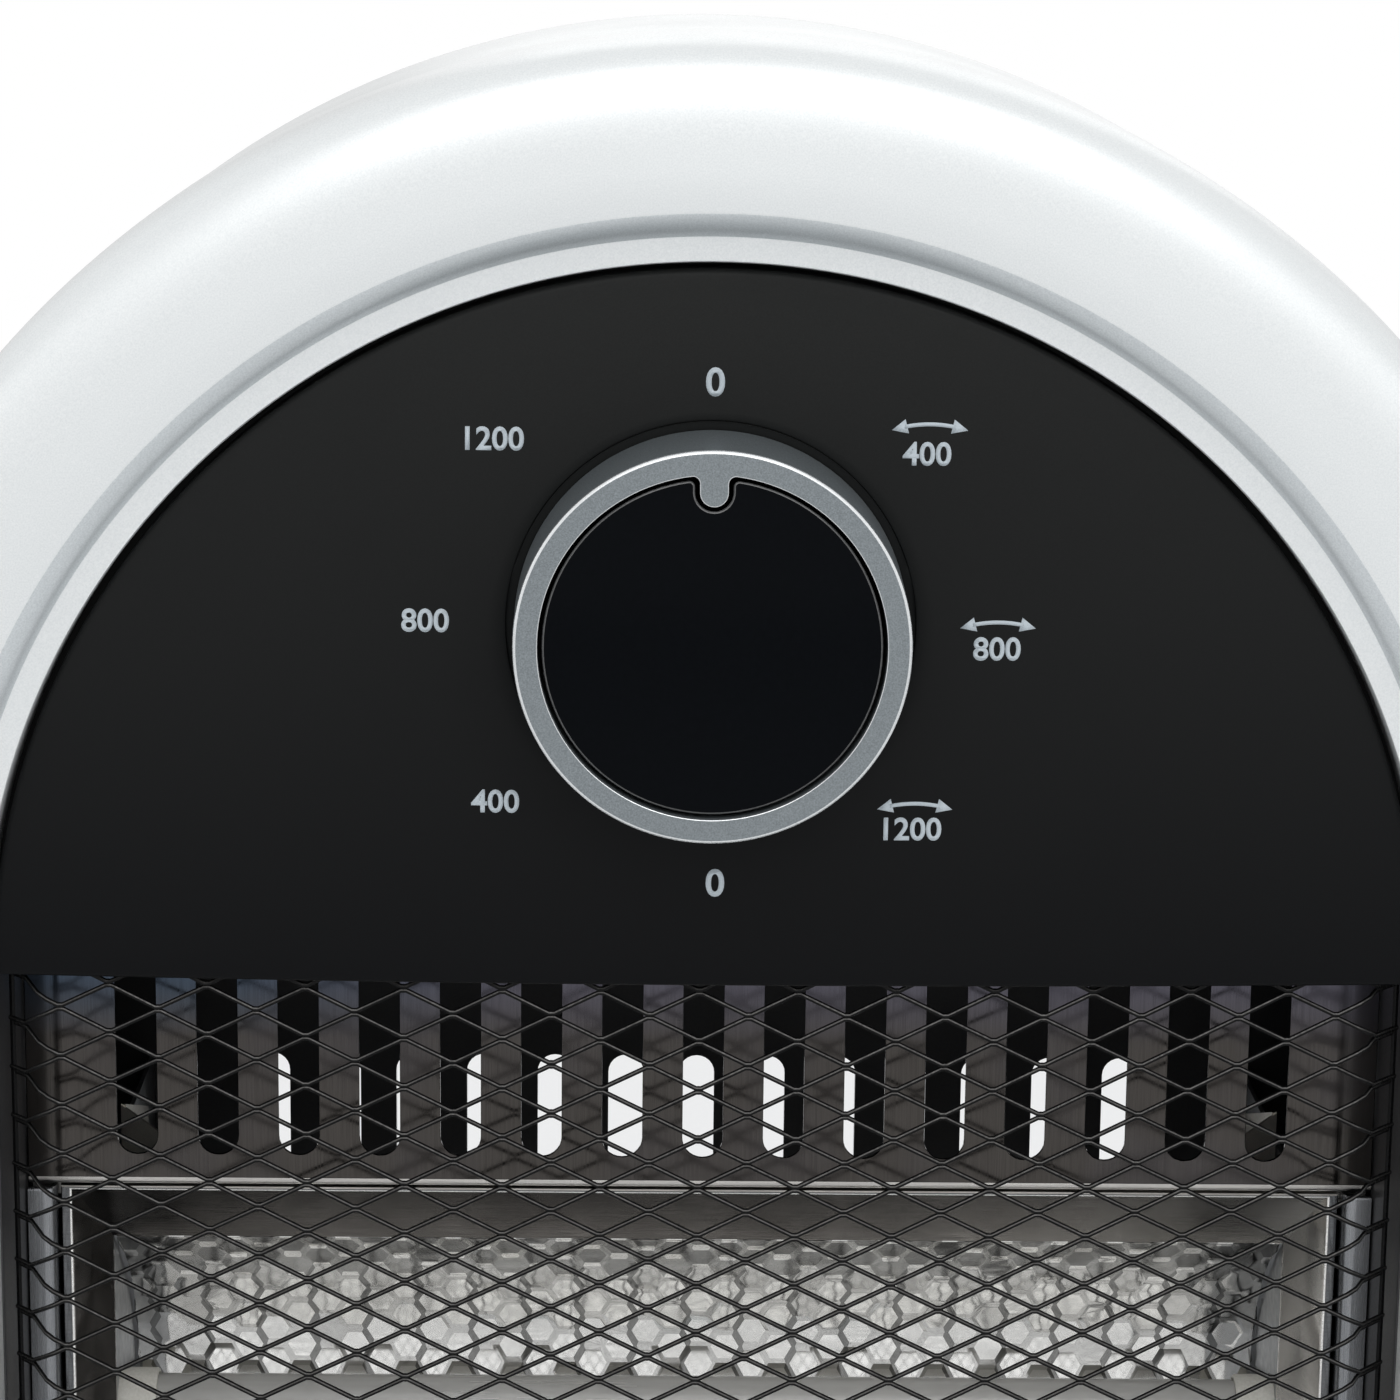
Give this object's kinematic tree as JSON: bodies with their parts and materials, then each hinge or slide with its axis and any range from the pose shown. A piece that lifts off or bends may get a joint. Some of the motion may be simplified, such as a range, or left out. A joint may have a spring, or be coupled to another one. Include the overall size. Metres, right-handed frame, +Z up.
{
  "type": "quartz heater",
  "caption": "Free-standing quartz heater with an arched head, expanded-metal guard, slotted steel liner and rotary selector, swivelling on a round base.",
  "frame": {"origin": "on the floor, at the middle of the round base, on the swivel axis", "axes": "+Z up along the swivel axis; -Y towards the front, where the knob and the guard are; +X to the right, seen from the front"},
  "size_m": [0.3012, 0.262, 0.53],
  "materials": {
    "silver_shell": "silver paint with fine flake",
    "black_panel": "satin black",
    "knob_silver": "silver grey paint",
    "gloss_black": "gloss black",
    "guard_wire": "black enamel",
    "brushed_steel": "brushed",
    "bright_reflector": "bright, embossed",
    "zinc_steel": "zinc plated",
    "milky_quartz": "milky white",
    "coil_alloy": "oxidised wire",
    "ceramic": "unglazed",
    "dark_plastic": "fine grain",
    "pale_plastic": "natural",
    "rubber": "matt"
  },
  "bodies": {
    "base": {"base_cover": "silver_shell", "base_plate": "dark_plastic", "base_screw_1": "zinc_steel", "base_screw_2": "zinc_steel", "base_screw_3": "zinc_steel", "rubber_foot_1": "rubber", "rubber_foot_2": "rubber", "rubber_foot_3": "rubber", "rubber_foot_4": "rubber", "cord_gland": "dark_plastic", "terminal_block": "pale_plastic", "tip_switch": "dark_plastic", "oscillation_motor": "dark_plastic", "thrust_washer": "pale_plastic"},
    "head": {"front_bezel": "silver_shell", "rear_shell": "silver_shell", "rear_screw_1": "zinc_steel", "rear_screw_2": "zinc_steel", "rear_screw_3": "zinc_steel", "rear_screw_4": "zinc_steel", "handle_cup": "dark_plastic", "control_fascia": "black_panel", "rotary_switch": "dark_plastic", "guard_mesh": "guard_wire", "window_surround": "dark_plastic", "slotted_liner": "brushed_steel", "heat_baffle": "zinc_steel", "reflector_frame": "brushed_steel", "reflector_panel": "bright_reflector", "side_rail_left": "brushed_steel", "side_rail_right": "brushed_steel", "side_bracket_left": "brushed_steel", "side_bracket_right": "brushed_steel", "tube_bracket_left": "zinc_steel", "tube_bracket_right": "zinc_steel", "quartz_tube_1": "milky_quartz", "quartz_tube_2": "milky_quartz", "quartz_tube_3": "milky_quartz", "heating_coil_1": "coil_alloy", "heating_coil_2": "coil_alloy", "heating_coil_3": "coil_alloy", "ceramic_cap_1_left": "ceramic", "ceramic_cap_1_right": "ceramic", "ceramic_cap_2_left": "ceramic", "ceramic_cap_2_right": "ceramic", "ceramic_cap_3_left": "ceramic", "ceramic_cap_3_right": "ceramic", "thermal_cutout": "dark_plastic", "neck_post": "dark_plastic", "neck_nut": "zinc_steel", "retaining_collar": "dark_plastic", "swivel_arm": "zinc_steel"},
    "knob": {"knob_ring": "knob_silver", "knob_cap": "gloss_black", "switch_shaft": "zinc_steel"},
    "crank": {"drive_crank": "pale_plastic"},
    "plunger": {"tip_plunger": "pale_plastic"}
  },
  "joints": [
    {"name": "head_swivel", "type": "hinge", "parent": "base", "child": "head", "pos_m": [0, 0, 0.0466], "axis": [0, 0, 1], "range_deg": [-30, 30]},
    {"name": "selector_knob", "type": "hinge", "parent": "head", "child": "knob", "pos_m": [0, -0.052, 0.43815], "axis": [0, -1, 0], "continuous": true},
    {"name": "crank_turn", "type": "hinge", "parent": "base", "child": "crank", "pos_m": [0, 0.041, 0.0234], "axis": [0, 0, 1], "range_deg": [-90, 90]},
    {"name": "plunger_slide", "type": "slide", "parent": "base", "child": "plunger", "axis": [0, 0, -1], "range_m": [-0.001, 0.006], "stiffness_N_per_m": 100, "springref_m": 0.008}
  ],
  "couplings": [
    {"joint": "crank_turn", "follows": "head_swivel", "ratio": 3}
  ]
}
